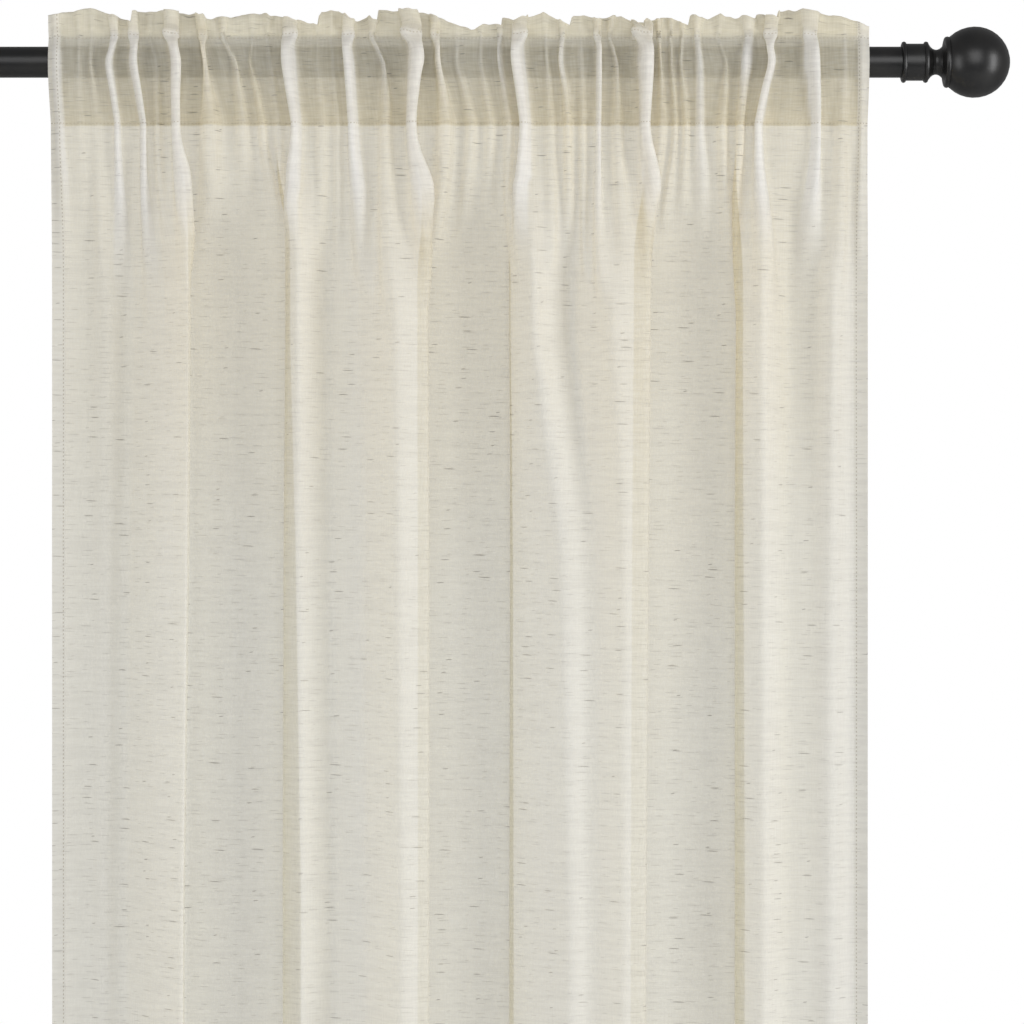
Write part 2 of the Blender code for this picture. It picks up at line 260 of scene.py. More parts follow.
# Soft bumps of the cloth: their depth, their width across and their height, each from its own seed. Those
# of the rod fade over NEAR_FADE above and below NEAR_HEIGHT. The header's puffs and its rough edge change
# across only. From the pocket's lower seam up, within POCKET_FADE, all bumps but the header's come to point
# outwards.
Bump = namedtuple("Bump", "depth width height seed")
BUMPS = (Bump(0.0011, 0.045, 0.24, 11), Bump(0.0006, 0.018, 0.10, 12))
ROD_BUMPS = Bump(0.0009, 0.009, 0.022, 13)
PUFFS = (Bump(0.0034, 0.035, 1, 6), Bump(0.0012, 0.011, 1, 7))
ROUGH_EDGE = Bump(0.0008, 0.005, 1, 5)
NEAR_HEIGHT = -0.02
NEAR_FADE = 0.07
POCKET_FADE = 0.025
NOISE_ROWS = 80
NOISE_COLUMNS = 400


def smooth(share):
    share = np.clip(share, 0, 1)
    return share * share * (3 - 2 * share)


def running(values):
    """Running total that starts from nought."""
    return np.concatenate(([0.0], np.cumsum(values)))


def middles(values):
    return (values[1:] + values[:-1]) / 2


def column(table, name):
    return np.array([getattr(row, name) for row in table], dtype=float)


def at_place(place, top, rod, low):
    """A value of each gather at a place between the top seam, the rod and the lower seam."""
    upper, lower = np.clip(place, 0, 1), np.clip(place - 1, 0, 1)
    return top + (rod - top) * upper + (low - rod) * lower


def ridges(place):
    """Where the gathers' ridges stand, in metres from the cloth's left edge."""
    return at_place(place, *(column(GATHERS, name) for name in ("top", "rod", "low"))) / 1000


def edges(place):
    """The places between the gathers' ridges, with the cloth's two edges."""
    return np.concatenate(([0], middles(ridges(place)), [HUNG_WIDTH]))


# Each gather's cloth, and the points of the fine line: how many gathers along, how far along the cloth from
# its left edge, in which gather, and which of them the mesh shows
SPANS = np.max([np.diff(edges(place)) for place in (0, 1, 2)], axis=0)
SPARE = (CLOTH_WIDTH - SPANS.sum()) / column(GATHERS, "extra").sum()
GATHER_CLOTH = running(SPANS + SPARE * column(GATHERS, "extra"))
PHASE = np.linspace(0, len(GATHERS), len(GATHERS) * SAMPLES_PER_GATHER + 1)
ALONG = np.interp(PHASE, np.arange(len(GATHERS) + 1), GATHER_CLOTH)
OWN = np.minimum(PHASE.astype(int), len(GATHERS) - 1)
SHOWN = np.searchsorted(ALONG, np.linspace(0, CLOTH_WIDTH - 1e-9, COLUMNS))


def runs():
    """How far the gathers run down, evened out between neighbours."""
    values = np.pad(column(GATHERS, "run"), RUN_BLUR // 2, mode="edge")
    window = np.hanning(RUN_BLUR + 2)[1:-1]
    even = np.convolve(values, window / window.sum(), "valid")
    return np.interp(ALONG, middles(GATHER_CLOTH), even) / 1000


def noise(across, up, bump):
    """Smooth bumps in and out over the cloth."""
    grid = np.random.RandomState(bump.seed).uniform(-1, 1, (NOISE_ROWS, NOISE_COLUMNS))
    x = np.asarray(across) / bump.width
    y = np.asarray(up) / bump.height + NOISE_ROWS / 2
    x0 = np.floor(x).astype(int) % (NOISE_COLUMNS - 1)
    y0 = np.floor(y).astype(int) % (NOISE_ROWS - 1)
    fx, fy = smooth(x - np.floor(x)), smooth(y - np.floor(y))
    low = grid[y0, x0] * (1 - fx) + grid[y0, x0 + 1] * fx
    high = grid[y0 + 1, x0] * (1 - fx) + grid[y0 + 1, x0 + 1] * fx
    return bump.depth * (low * (1 - fy) + high * fy)


def distances(points):
    """Distance along a row of points, from its start."""
    return running(np.linalg.norm(np.diff(points, axis=0), axis=1))


def resampled(points, places):
    """The points of a line at places along it."""
    walked = distances(points)
    return np.column_stack([np.interp(places, walked, axis) for axis in points.T])


def rounded(points):
    """A line of turns with its corners rounded off."""
    length = distances(points)[-1]
    line = resampled(points, np.linspace(0, length, FOLD_POINTS))
    reach = round(FOLD_ROUNDING / length * FOLD_POINTS)
    window = np.hanning(2 * reach + 1)
    before = 2 * line[0] - line[reach:0:-1]
    after = 2 * line[-1] - line[-2 : -reach - 2 : -1]
    padded = np.vstack((before, line, after))
    return np.column_stack([np.convolve(axis, window / window.sum(), "valid") for axis in padded.T])


def folds(z):
    """The broad folds in plan at height z, and each point's painted highlight on a crest.

    The folds are just as deep as uses up the cloth's width.
    """
    heights = [-height for height in FOLD_HEIGHTS]
    places = np.array([np.interp(-z, heights, (t.upper, t.low, t.middle, t.hem)) for t in TURNS]) / 1000
    out = np.array([np.interp(-z, heights[:2], (t.out_upper, t.out)) for t in TURNS]) / 1000
    shallow, deep = DEPTH_SHARES
    for _ in range(DEPTH_HALVINGS):
        depth = (shallow + deep) / 2
        turns = np.column_stack((places, depth * out))
        line = rounded(turns)
        if distances(line)[-1] < CLOTH_WIDTH:
            shallow = depth
        else:
            deep = depth
    walked = distances(turns)
    crest = np.interp(ALONG / CLOTH_WIDTH, walked / walked[-1], column(TURNS, "crest"))
    return resampled(line, ALONG / CLOTH_WIDTH * distances(line)[-1]), smooth(CREST_RISE * crest)


def waves(ratio, place, pinch, wide, split):
    """How far the cloth's direction swings along its gathers, and each point's painted highlight on a ridge.

    Ratio is the cloth's width over its length. A pinched gather lies flat but for its ridge, which leans to
    one side; a soft one is an even wave.
    """
    full, below = column(GATHERS, "wide"), column(GATHERS, "below")
    width = at_place(place, full, full, np.maximum(below, NARROWEST)) * wide / 1000
    crisp = at_place(place, 1.0, 1.0, np.where(below > 0, 1.0, FADED)) * pinch
    stops = edges(place)
    room = np.maximum(np.diff(stops) - width, LEAST_ROOM)
    side = np.clip((ridges(place) - width / 2 - stops[:-1]) / room, LEAST_SIDE, 1 - LEAST_SIDE)
    flat = np.clip(ratio - (width / np.diff(GATHER_CLOTH))[OWN], 0, MOST_FLAT) * crisp[OWN]
    tight = np.clip((ratio - flat) / (1 - flat), TIGHTEST, 1)
    swing = np.sqrt(8 * (1 - np.sqrt(tight)))
    lean = (0.5 + (column(GATHERS, "lean") - 0.5) * crisp**2)[OWN]
    within = np.clip((PHASE - OWN - flat * side[OWN]) / (1 - flat), 0, 1)
    rising = within < lean
    turn = np.where(rising, within / lean, 1 + (within - lean) / (1 - lean)) * math.pi
    size = np.where(rising, 2 * (1 - lean), 2 * lean) / np.sqrt(4 * lean * (1 - lean))
    share = split * math.pi / 2
    swung = np.minimum(swing * size, STEEPEST) * np.cos(share) * np.sin(turn)
    swung += swing * np.sin(share) * np.sin(2 * turn)
    # Painted highlight: how strongly each gather's ridge is painted paler
    highlight_strength = np.minimum(full / HIGHLIGHT_WIDTH, 1)
    highlight_strength *= np.minimum(HIGHLIGHT_LEAST + column(GATHERS, "extra") / HIGHLIGHT_EXTRA, 1)
    return swung, smooth(RIDGE_RISE * (1 - np.cos(turn))) * (highlight_strength * crisp)[OWN]


def section(z, place, pinch, wide, split):
    """The cloth in plan at height z.

    For each point, where it lies across and out, which way the cloth runs there, and how much painted
    highlight it gets as part of a gather's ridge or a fold's crest.
    """
    opened = smooth((SEAM_HEIGHT - z) / runs())[:, None]
    broad, crest = folds(z)
    straight = np.column_stack((np.interp(ALONG, GATHER_CLOTH, edges(place)), np.zeros_like(ALONG)))
    base = opened * broad + (1 - opened) * straight
    pace = np.gradient(base, ALONG, axis=0)
    ratio = np.clip(np.linalg.norm(pace, axis=1), LEAST_RATIO, 1)
    direction = np.unwrap(np.arctan2(pace[:, 1], pace[:, 0]))
    swung, fold_highlight = waves(ratio, place, pinch, wide, split)
    direction += swung * np.cos(direction / 2) ** 2
    turns = middles(direction)
    steps = np.diff(ALONG)
    line = np.column_stack((running(np.cos(turns) * steps), running(np.sin(turns) * steps)))
    ends = slice(None, None, SAMPLES_PER_GATHER)
    for axis in range(2):
        line[:, axis] += np.interp(ALONG, GATHER_CLOTH, (base - line)[ends, axis])
    return line[:, 0], line[:, 1], direction, np.maximum(fold_highlight, CREST_SHARE * opened[:, 0] * crest)


def crest_height(across):
    """The header's top edge above the rod's axis."""
    start, places, heights = 0, [], []
    for scallop in SCALLOPS:
        places += [start + SCALLOP_STEP, (start + scallop.end) / 2, scallop.end - SCALLOP_STEP]
        heights += [scallop.left, scallop.middle, scallop.right]
        start = scallop.end
    return np.interp(across, np.array(places) / 1000, np.array(heights) / 1000)


def pocket_row(row):
    """One named row of the pocket or header, standing in space."""
    across, out, direction, fold_highlight = section(SEAM_HEIGHT, row.place, row.pinch, row.wide, row.split)
    gap = LAYER_GAP * row.behind
    x = HUNG_LEFT + across + gap * np.sin(direction)
    valley = out.mean() if row.y is None else row.y / 1000
    y = valley - row.deep * out + gap * np.cos(direction)
    y = y + row.puff * sum(noise(ALONG, 0, bump) for bump in PUFFS)
    z = row.z / 1000 + row.tilt * out
    if row.name.startswith("crest"):
        z = crest_height(across) + noise(ALONG, 0, ROUGH_EDGE)
    # The fourth number is the ridges' and crests' painted highlight
    return np.column_stack((x, y, z, row.pale * fold_highlight))[SHOWN]


def between(points, share, low, high):
    """A row between two rows of the pocket, on a smooth curve through the rows around them."""
    before, after = points[max(low - 1, 0)], points[min(high + 1, len(points) - 1)]
    s = share
    return (
        (-0.5 * s + s * s - 0.5 * s**3) * before
        + (1 - 2.5 * s * s + 1.5 * s**3) * points[low]
        + (0.5 * s + 2 * s * s - 1.5 * s**3) * points[high]
        + (-0.5 * s * s + 0.5 * s**3) * after
    )


def hanging_row(z):
    """One row below the pocket, centred below the rod, where each gather opens and grows wider on its run."""
    opening = smooth((SEAM_HEIGHT - z) * 1000 / (OPEN_SHARE * column(GATHERS, "run")))
    across, out, _, fold_highlight = section(z, 2, 1 - opening, 1 + OPEN_WIDER * opening, 0)
    # The fourth number is the ridges' and crests' painted highlight
    return np.column_stack((HUNG_LEFT + across, out.mean() - out, np.full_like(out, z), fold_highlight))[SHOWN]


def wrinkle(points, cloth_up):
    """Small unevenness of the cloth, as soft bumps in and out; in the pocket only out, away from the rod."""
    along = ALONG[SHOWN]
    y, z = points[:, :, 1], points[:, :, 2]
    near = np.exp(-np.abs(z - NEAR_HEIGHT) / NEAR_FADE)
    depth = np.zeros_like(z)
    for i, up in enumerate(cloth_up):
        for bump in BUMPS:
            depth[i] += noise(along, up, bump)
        depth[i] += near[i] * noise(along, up, ROD_BUMPS)
    pocket = smooth((z - SEAM_HEIGHT) / POCKET_FADE)
    return depth * (1 - pocket) + np.where(y < 0, -1, 1) * np.abs(depth) * pocket


def cloth_points():
    """The whole sheet as rows of points, from the hem up, over the crest and down behind the rod.

    The fourth number of a point is its painted highlight as part of a gather's ridge or a fold's crest.
    """
    heights = [SEAM_HEIGHT]
    for stretch in STRETCHES:
        heights += list(np.linspace(heights[-1], stretch.bottom, stretch.rows + 1))[1:]
    rows = [hanging_row(z) for z in heights[:0:-1]]
    named = [pocket_row(row) for row in ROWS]
    for i, row in enumerate(ROWS[:-1]):
        rows += [between(named, step / row.steps, i, i + 1) for step in range(row.steps)]
    rows.append(named[-1])
    return np.array(rows)


def clear_of_rod(points):
    """The points, with those that would lie in the rod or too near it moved out from its axis."""
    reach = np.linalg.norm(points[:, :, 1:], axis=2, keepdims=True)
    points[:, :, 1:] *= np.maximum(ROD_REACH / reach, 1)
    return points


def make_cloth():
    """The cloth's mesh, with its length and how far up the cloth the named rows lie."""
    points = cloth_points()
    fold_highlight = np.clip(points[:, :, 3], 0, 1)
    points = points[:, :, :3]
    cloth_up = running(np.linalg.norm(np.diff(points, axis=0), axis=2).mean(axis=1))
    points[:, :, 1] += wrinkle(points, cloth_up)
    points = clear_of_rod(points)
    mesh = bmesh.new()
    flat = mesh.loops.layers.uv.new("cloth")
    grid = [[mesh.verts.new(point) for point in row] for row in points]
    along = ALONG[SHOWN]
    for i in range(len(grid) - 1):
        for j in range(len(along) - 1):
            corners = ((i, j), (i, j + 1), (i + 1, j + 1), (i + 1, j))
            face = mesh.faces.new([grid[row][place] for row, place in corners])
            face.smooth = True
            for loop, (row, place) in zip(face.loops, corners):
                loop[flat].uv = (along[place], cloth_up[row])
    data = bpy.data.meshes.new("curtain_cloth")
    mesh.to_mesh(data)
    mesh.free()
    # The painted highlight of ridges and crests, kept on the mesh for the cloth's material
    data.attributes.new("fold_highlight", "FLOAT", "POINT").data.foreach_set("value", fold_highlight.ravel())
    cloth = bpy.data.objects.new("curtain_cloth", data)
    bpy.context.scene.collection.objects.link(cloth)
    first = sum(stretch.rows for stretch in STRETCHES)
    marks = {}
    for row in ROWS:
        marks[row.name] = cloth_up[min(first, len(cloth_up) - 1)]
        first += row.steps
    return cloth, cloth_up[-1], marks


class Nodes:
    """Short calls that add nodes to a material and link them."""

    def __init__(self, name):
        self.material = bpy.data.materials.new(name)
        self.material.use_nodes = True
        self.tree = self.material.node_tree
        self.tree.nodes.clear()

    def feed(self, socket, value):
        if isinstance(value, bpy.types.NodeSocket):
            self.tree.links.new(value, socket)
        else:
            socket.default_value = value

    def add(self, kind, inputs=None, **settings):
        node = self.tree.nodes.new(kind)
        for key, value in settings.items():
            setattr(node, key, value)
        for key, value in (inputs or {}).items():
            self.feed(node.inputs[key], value)
        return node

    def math(self, operation, a, b=0.0, c=0.0, clamp=False):
        return self.add("ShaderNodeMath", {0: a, 1: b, 2: c}, operation=operation, use_clamp=clamp).outputs[0]

    def vector(self, operation, a, b=(0, 0, 0)):
        node = self.add("ShaderNodeVectorMath", {0: a, 1: b}, operation=operation)
        return node.outputs["Value" if operation in ("LENGTH", "DOT_PRODUCT") else "Vector"]

    def ramp(self, value, low, high, to_low=0.0, to_high=1.0):
        """The value's stretch from low to high, spread smoothly over new ends."""
        node = self.add(
            "ShaderNodeMapRange",
            {"Value": value, "From Min": low, "From Max": high, "To Min": to_low, "To Max": to_high},
            interpolation_type="SMOOTHSTEP",
        )
        return node.outputs["Result"]

    def noise(self, place, scale, detail=2.0, dimensions="3D"):
        inputs = {"Vector": place, "Scale": scale, "Detail": detail}
        return self.add("ShaderNodeTexNoise", inputs, noise_dimensions=dimensions).outputs["Fac"]

    def mix(self, kind, share, a, b):
        """Mix two colours or vectors. The node's last two sockets of that kind are the ones it mixes."""
        node = self.tree.nodes.new("ShaderNodeMix")
        node.data_type = kind
        sockets = [socket for socket in node.inputs if socket.type == kind]
        for socket, value in ((node.inputs[0], share), (sockets[-2], a), (sockets[-1], b)):
            self.feed(socket, value)
        return next(socket for socket in node.outputs if socket.type == kind)

    def most(self, values):
        """The largest of some values."""
        largest = values[0]
        for value in values[1:]:
            largest = self.math("MAXIMUM", largest, value)
        return largest

    def finish(self, shader):
        self.add("ShaderNodeOutputMaterial", {"Surface": shader.outputs[0]})
        return self.material


# The dark threads spun into the weft. Sizes in millimetres: the space for one thread across and up, its
# length and thickness; how many of the spaces have one, and how strongly it shows.
Slub = namedtuple("Slub", "across up length thick share strength")
SLUBS = (
    Slub(29, 9, 8.5, 0.90, 0.28, 0.66),
    Slub(16, 4.2, 9.0, 0.75, 0.50, 0.30),
)

# The second kind's grid is shifted against the first by so many spaces, across and up. Each thread is of a
# length between these shares of the table's, and is bowed and slanted at random by as much as these times
# its thickness. It shows in full over the core of its reach.
SLUB_SHIFT = (7.3, 3.1)
SLUB_LENGTHS = (0.5, 1.6)
SLUB_BOW = 1.4
SLUB_SLANT = 1.6
SLUB_CORE = 0.15

# The unevenness of the threads: bumps per metre across and up the cloth, and how finely they break up
Grain = namedtuple("Grain", "across up detail")
STREAKS = Grain(85, 800, 1.0)
BANDS = Grain(22, 300, 1.0)
WARP = Grain(650, 60, 0.0)
CLOUDS = Grain(9, 4, 1.0)

# How much of it shows: the grain's stretch from low to high, spread over new ends
Spread = namedtuple("Spread", "low high to_low to_high")
STREAK_PALE = Spread(0.3, 0.7, -0.1, 0.25)
WARP_PALE = Spread(0.3, 0.7, -0.1, 0.12)
BAND_DARK = Spread(0.35, 0.7, 0.0, 1.0)
CLOUD_WARM = Spread(0.35, 0.65, -0.1, 0.1)

# Rows of stitches: the length of a stitch with its gap, how soft its ends are, half the width of a row and
# the core of that, and how far a row lies from the edge of a hem or of the cloth, and from the edge of a
# side hem
STITCH = 0.0032
STITCH_ENDS = 0.3
STITCH_WIDTH = 0.0007
STITCH_CORE = 0.4
STITCH_INSET = 0.002
SIDE_INSET = 0.0015

# How soft the edges of the side hems and of the bottom hem are
SIDE_SOFT = 0.0006
BOTTOM_SOFT = 0.0008

# Colours of the cloth: flat, further up, along its pale threads, and its painted highlight on ridges, crests
# and hems; of the light that comes through it, below and further up; and of its slubs and stitches
CREAM = (0.965, 0.945, 0.835, 1)
WARM_CREAM = (0.945, 0.885, 0.700, 1)
PALE_CREAM = (0.985, 0.975, 0.920, 1)
# The painted highlight colour of ridges, crests and hems
HIGHLIGHT_CREAM = (0.965, 0.957, 0.928, 1)
GLOW = (1.00, 0.96, 0.86, 1)
WARM_GLOW = (1.00, 0.93, 0.78, 1)
SLUB_COLOUR = (0.135, 0.105, 0.078, 1)
THREAD_COLOUR = (0.50, 0.45, 0.35, 1)

# How much of the light the cloth stops, flat and at a hem, and what threads and folds add to that
SHEER = 0.78
HEM_SHEER = 0.97
STREAK_SHEER = 0.13
WARP_SHEER = 0.08
DARK_SHEER = 0.2
FOLD_SHEER = 0.17

# How much of the light that it stops goes on through the threads, flat and less of it in a fold
THROUGH = 0.50
FOLD_THROUGH = -0.20

# The upper cloth is warmer: from where and to where below the pocket's seam, how much, and how much of that
# the header keeps. The cloth is a little warmer to the right, too.
UPPER_FROM = 0.50
UPPER_TO = 0.05
UPPER_WARMTH = 0.8
HEADER_FROM = 0.012
HEADER_WARMTH = 0.35
RIGHT_FROM = 0.3
RIGHT_TO = 1.0
RIGHT_WARMTH = 0.22

# A hem counts as folded cloth, in part. Folded cloth is painted paler, as a highlight, and hides its slubs.
# Bands and stitches are darker by a share of their colours.
HEM_FOLDED = 0.5
HIGHLIGHT_PALE = 1.3
FOLD_HIDES = -0.65
BAND_SHADE = 0.07
STITCH_SHADE = 0.6


def grain_noise(nodes, flat, grain):
    place = nodes.vector("MULTIPLY", flat, (grain.across, grain.up, 1))
    return nodes.noise(place, 1.0, grain.detail, "2D")


def slub_mask(nodes, flat, slub, number):
    """Short threads along the weft, one at a random place in each space of a grid."""
    scaled = nodes.vector("MULTIPLY", flat, (1000 / slub.across, 1000 / slub.up, 0))
    moved = nodes.vector("ADD", scaled, (SLUB_SHIFT[0] * number, SLUB_SHIFT[1] * number, 0))
    cells = nodes.add("ShaderNodeTexVoronoi", {"Vector": moved, "Scale": 1.0}, voronoi_dimensions="2D")
    chance = nodes.add("ShaderNodeSeparateColor", {0: cells.outputs["Color"]})
    local = nodes.vector("SUBTRACT", moved, cells.outputs["Position"])
    parts = nodes.add("ShaderNodeSeparateXYZ", {0: local})
    length = nodes.ramp(chance.outputs[1], 0, 1, *SLUB_LENGTHS)
    x = nodes.math("MULTIPLY", parts.outputs[0], 2 * slub.across / slub.length)
    x = nodes.math("DIVIDE", x, length)
    bow = nodes.math("MULTIPLY", nodes.math("SUBTRACT", chance.outputs[2], 0.5), SLUB_BOW)
    y = nodes.math("MULTIPLY", parts.outputs[1], 2 * slub.up / slub.thick)
    y = nodes.math("MULTIPLY_ADD", nodes.math("MULTIPLY", x, x), bow, y)
    slant = nodes.math("MULTIPLY", nodes.math("SUBTRACT", chance.outputs[1], 0.5), SLUB_SLANT)
    y = nodes.math("MULTIPLY_ADD", x, slant, y)
    reach = nodes.math("ADD", nodes.math("MULTIPLY", x, x), nodes.math("MULTIPLY", y, y))
    there = nodes.math("LESS_THAN", chance.outputs[0], slub.share)
    mask = nodes.math("MULTIPLY", nodes.ramp(reach, 1.0, SLUB_CORE), there)
    return nodes.math("MULTIPLY", mask, slub.strength)


def line_mask(nodes, value, place):
    """A soft line as wide as a row of stitches where value is at place."""
    away = nodes.math("ABSOLUTE", nodes.math("SUBTRACT", value, place))
    return nodes.ramp(away, STITCH_WIDTH, STITCH_WIDTH * STITCH_CORE)


def stitch_mask(nodes, value):
    """Stitches one after the other as value grows."""
    wave = nodes.math("SINE", nodes.math("MULTIPLY", value, 2 * math.pi / STITCH))
    return nodes.ramp(wave, -STITCH_ENDS, STITCH_ENDS)


def sewn_masks(nodes, u, v, top, marks):
    """Where the cloth is turned over for a hem, and where it has a row of stitches."""
    side = nodes.math("MINIMUM", u, nodes.math("SUBTRACT", CLOTH_WIDTH, u))
    hems = (
        nodes.ramp(side, SIDE_HEM + SIDE_SOFT, SIDE_HEM - SIDE_SOFT),
        nodes.ramp(v, BOTTOM_HEM + BOTTOM_SOFT, BOTTOM_HEM - BOTTOM_SOFT),
    )
    seams = [marks[name] for name in ("pocket_seam", "top_seam", "layers_part")]
    places = [BOTTOM_HEM - STITCH_INSET, *seams, top - STITCH_INSET]
    rows = nodes.most([line_mask(nodes, v, place) for place in places])
    rows = nodes.math("MULTIPLY", rows, stitch_mask(nodes, u))
    sides = nodes.math("MULTIPLY", line_mask(nodes, side, SIDE_HEM - SIDE_INSET), stitch_mask(nodes, v))
    return nodes.most(hems), nodes.most((rows, sides))


def voile_material(top, marks):
    """Sheer cloth, woven of uneven threads; folded cloth gets a painted highlight and lets less light
    through.
    """
    nodes = Nodes("voile_weave")
    flat = nodes.add("ShaderNodeUVMap", uv_map="cloth").outputs["UV"]
    parts = nodes.add("ShaderNodeSeparateXYZ", {0: flat})
    u, v = parts.outputs[0], parts.outputs[1]

    grains = (STREAKS, BANDS, WARP, CLOUDS)
    streaks, bands, warp, clouds = (grain_noise(nodes, flat, grain) for grain in grains)
    dark = nodes.most([slub_mask(nodes, flat, slub, number) for number, slub in enumerate(SLUBS)])
    hem, stitches = sewn_masks(nodes, u, v, top, marks)
    # The ridges' and crests' painted highlight, with a share of it on the hems
    fold_highlight = nodes.add("ShaderNodeAttribute", attribute_name="fold_highlight").outputs["Fac"]
    fold_highlight = nodes.math("MAXIMUM", fold_highlight, nodes.math("MULTIPLY", hem, HEM_FOLDED))
    showing = nodes.math("MULTIPLY_ADD", fold_highlight, FOLD_HIDES, 1.0, clamp=True)
    dark = nodes.math("MULTIPLY", dark, showing)

    seam, header = marks["pocket_seam"], marks["top_seam"]
    upper = nodes.ramp(v, seam - UPPER_FROM, seam - UPPER_TO, 0.0, UPPER_WARMTH)
    fading = nodes.ramp(v, header - HEADER_FROM, header, 1.0, HEADER_WARMTH)
    upper = nodes.math("MULTIPLY", upper, fading)
    right = nodes.ramp(u, RIGHT_FROM, RIGHT_TO, 0.0, RIGHT_WARMTH)
    warmth = nodes.math("ADD", right, nodes.ramp(clouds, *CLOUD_WARM))
    warmth = nodes.math("ADD", warmth, upper, clamp=True)
    colour = nodes.mix("RGBA", warmth, CREAM, WARM_CREAM)
    pale = nodes.math("ADD", nodes.ramp(streaks, *STREAK_PALE), nodes.ramp(warp, *WARP_PALE))
    colour = nodes.mix("RGBA", nodes.math("MAXIMUM", pale, 0.0), colour, PALE_CREAM)
    # Painted highlight: ridges, crests and hems painted paler
    highlight_mix = nodes.math("MULTIPLY", fold_highlight, HIGHLIGHT_PALE, clamp=True)
    colour = nodes.mix("RGBA", highlight_mix, colour, HIGHLIGHT_CREAM)
    shade = nodes.math("MULTIPLY", nodes.ramp(bands, *BAND_DARK), BAND_SHADE)
    colour = nodes.mix("RGBA", shade, colour, SLUB_COLOUR)
    colour = nodes.mix("RGBA", dark, colour, SLUB_COLOUR)
    colour = nodes.mix("RGBA", nodes.math("MULTIPLY", stitches, STITCH_SHADE), colour, THREAD_COLOUR)

    weave = nodes.math("MULTIPLY_ADD", nodes.math("SUBTRACT", streaks, 0.5), STREAK_SHEER, SHEER)
    weave = nodes.math("MULTIPLY_ADD", nodes.math("SUBTRACT", warp, 0.5), WARP_SHEER, weave)
    weave = nodes.math("MULTIPLY_ADD", hem, HEM_SHEER - SHEER, weave)
    weave = nodes.math("MULTIPLY_ADD", nodes.math("MAXIMUM", dark, stitches), DARK_SHEER, weave)
    weave = nodes.math("MULTIPLY_ADD", fold_highlight, FOLD_SHEER, weave, clamp=True)

    bump = nodes.add("ShaderNodeBump", {"Strength": 0.25, "Distance": 0.0004, "Height": streaks})
    front = nodes.add(
        "ShaderNodeBsdfPrincipled",
        {
            "Base Color": colour,
            "Roughness": 0.6,
            "IOR": 1.5,
            "Specular IOR Level": 0.4,
            "Sheen Weight": 0.5,
            "Sheen Roughness": 0.4,
            "Normal": bump.outputs["Normal"],
        },
    )
    glow = nodes.vector("MULTIPLY", colour, nodes.mix("RGBA", upper, GLOW, WARM_GLOW))
    through = nodes.add("ShaderNodeBsdfTranslucent", {"Color": glow, "Normal": bump.outputs["Normal"]})
    share = nodes.math("MULTIPLY_ADD", fold_highlight, FOLD_THROUGH, THROUGH)
    cloth = nodes.add("ShaderNodeMixShader", {0: share, 1: front.outputs[0], 2: through.outputs[0]})
    clear = nodes.add("ShaderNodeBsdfTransparent")
    whole = nodes.add("ShaderNodeMixShader", {0: weave, 1: clear.outputs[0], 2: cloth.outputs[0]})
    return nodes.finish(whole)


# Where a ball's middle lies along the rod on either side, its radius, and how near to that its surface is
BALL_PLACE = 0.4375
BALL_RADIUS = 0.0292
BALL_MARGIN = 0.0007

# The paint's colour and roughness, and how far both change with wear. Scales are bumps per metre.
GRAIN_SCALE = 900.0
WEAR_SCALE = 45.0
PAINT_DETAIL = 3.0
WEAR_SHOWS = Spread(0.35, 0.7, 0.0, 1.0)
BLACK = (0.0055, 0.0055, 0.006, 1)
WORN_BLACK = (0.011, 0.0105, 0.010, 1)
PAINT_ROUGHNESS = 0.30
WORN_ROUGHNESS = 0.10


def turned_normal(nodes, place):
    """The surface's direction as turned round the rod's axis, and round its own middle on the balls."""
    facet = nodes.add("ShaderNodeNewGeometry").outputs["Normal"]
    spoke = nodes.vector("NORMALIZE", nodes.vector("MULTIPLY", place, (0, 1, 1)))
    tilt = nodes.vector("DOT_PRODUCT", facet, spoke)
    out = nodes.add("ShaderNodeVectorMath", {0: spoke, "Scale": tilt}, operation="SCALE").outputs["Vector"]
    turned = nodes.vector("ADD", nodes.vector("MULTIPLY", facet, (1, 0, 0)), out)
    turned = nodes.vector("NORMALIZE", turned)
    along = nodes.add("ShaderNodeSeparateXYZ", {0: place}).outputs[0]
    middle = nodes.math("MULTIPLY", nodes.math("SIGN", along), BALL_PLACE)
    ray = nodes.vector("SUBTRACT", place, nodes.add("ShaderNodeCombineXYZ", {0: middle}).outputs[0])
    away = nodes.math("ABSOLUTE", nodes.math("SUBTRACT", nodes.vector("LENGTH", ray), BALL_RADIUS))
    ball = nodes.math("LESS_THAN", away, BALL_MARGIN)
    return nodes.mix("VECTOR", ball, turned, nodes.vector("NORMALIZE", ray))


def black_material():
    """Satin black paint with a faint grain."""
    nodes = Nodes("black_paint")
    place = nodes.add("ShaderNodeTexCoord").outputs["Object"]
    grain = nodes.noise(place, GRAIN_SCALE, PAINT_DETAIL)
    wear = nodes.noise(place, WEAR_SCALE, PAINT_DETAIL)
    bump = nodes.add(
        "ShaderNodeBump",
        {"Strength": 0.12, "Distance": 0.0002, "Height": grain, "Normal": turned_normal(nodes, place)},
    )
    paint = nodes.add(
        "ShaderNodeBsdfPrincipled",
        {
            "Base Color": nodes.mix("RGBA", nodes.ramp(wear, *WEAR_SHOWS), BLACK, WORN_BLACK),
            "Roughness": nodes.math("MULTIPLY_ADD", wear, WORN_ROUGHNESS, PAINT_ROUGHNESS),
            "Metallic": 0.0,
            "Specular IOR Level": 0.5,
            "Normal": bump.outputs["Normal"],
        },
    )
    return nodes.finish(paint)


FLOOR_HEIGHT = -2.115
FLOOR_RADIUS = 3.2
FLOOR_SIDES = 96
FLOOR_CLOUDS = 1.5
FLOOR_COLOURS = ((0.74, 0.74, 0.73, 1), (0.79, 0.79, 0.78, 1))

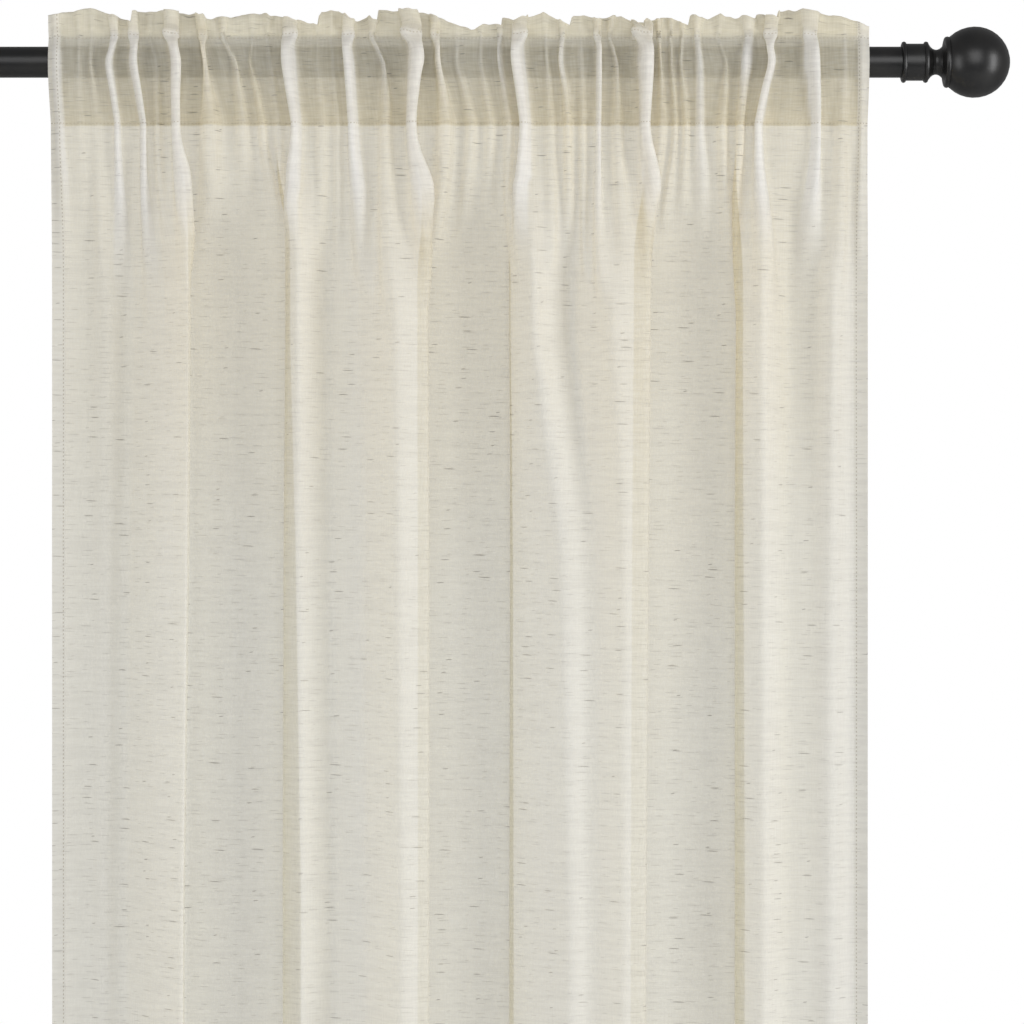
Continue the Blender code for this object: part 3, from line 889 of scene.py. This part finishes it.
# The colour all round, and how much of it falls on the cloth as light
WHITE = (1, 1, 1, 1)
AMBIENT = 0.28

# Lamps: where they stand, what they point at, their width, height and power
Lamp = namedtuple("Lamp", "name place target width height power")
LAMPS = (
    Lamp("key", (-4.0, -2.6, -0.4), (0.0, 0.0, -0.6), 1.6, 3.0, 54),
    Lamp("fill", (0.2, -3.6, 0.7), (0.0, 0.0, -0.7), 2.4, 2.4, 50),
    Lamp("side", (3.0, -1.6, -0.3), (0.1, 0.0, -0.5), 1.0, 2.6, 60),
)


def floor_material():
    nodes = Nodes("pale_floor")
    place = nodes.add("ShaderNodeTexCoord").outputs["Object"]
    colour = nodes.mix("RGBA", nodes.noise(place, FLOOR_CLOUDS), *FLOOR_COLOURS)
    return nodes.finish(nodes.add("ShaderNodeBsdfPrincipled", {"Base Color": colour, "Roughness": 0.8}))


def make_floor():
    data = bpy.data.meshes.new("floor")
    disc = bmesh.new()
    bmesh.ops.create_circle(disc, cap_ends=True, segments=FLOOR_SIDES, radius=FLOOR_RADIUS)
    disc.to_mesh(data)
    disc.free()
    floor = bpy.data.objects.new("floor", data)
    floor.location.z = FLOOR_HEIGHT
    bpy.context.scene.collection.objects.link(floor)
    data.materials.append(floor_material())


def make_lamps():
    for lamp in LAMPS:
        light = bpy.data.lights.new(lamp.name, "AREA")
        light.shape = "RECTANGLE"
        light.size = lamp.width
        light.size_y = lamp.height
        light.energy = lamp.power
        holder = bpy.data.objects.new(lamp.name, light)
        holder.location = lamp.place
        facing = Vector(lamp.target) - Vector(lamp.place)
        holder.rotation_euler = facing.to_track_quat("-Z", "Y").to_euler()
        bpy.context.scene.collection.objects.link(holder)


def make_world():
    """White all round, and dimmer as a light than it looks."""
    world = bpy.data.worlds.new("studio")
    bpy.context.scene.world = world
    world.use_nodes = True
    nodes = world.node_tree.nodes
    links = world.node_tree.links
    background = nodes["Background"]
    background.inputs["Color"].default_value = WHITE
    seen = nodes.new("ShaderNodeLightPath")
    level = nodes.new("ShaderNodeMapRange")
    links.new(seen.outputs["Is Camera Ray"], level.inputs["Value"])
    level.inputs["To Min"].default_value = AMBIENT
    level.inputs["To Max"].default_value = 1.0
    links.new(level.outputs["Result"], background.inputs["Strength"])


# The camera stands in the room and looks along Y: how far it is from the rod, how wide a view it takes in
# there, and where the middle of that view lies, across and up
CAMERA_DISTANCE = 3.0
VIEW_WIDTH = 0.8417
VIEW_CENTRE = (0.0575, -0.3697)
SENSOR_WIDTH = 36


def make_camera():
    data = bpy.data.cameras.new("camera")
    camera = bpy.data.objects.new("camera", data)
    camera.location = (VIEW_CENTRE[0], -CAMERA_DISTANCE, VIEW_CENTRE[1])
    camera.rotation_euler = (math.pi / 2, 0, 0)
    data.sensor_width = SENSOR_WIDTH
    data.lens = SENSOR_WIDTH * CAMERA_DISTANCE / VIEW_WIDTH
    bpy.context.scene.collection.objects.link(camera)
    bpy.context.scene.camera = camera


def main():
    bpy.context.scene.view_settings.view_transform = "Standard"
    make_camera()
    make_world()
    make_floor()
    make_lamps()

    cloth, length, marks = make_cloth()
    cloth.data.materials.append(voile_material(length, marks))
    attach(cloth, "root")
    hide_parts("curtain")

    black = black_material()
    for name in ("rod", "finial_left", "finial_right"):
        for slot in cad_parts[name].material_slots:
            slot.material = black


main()
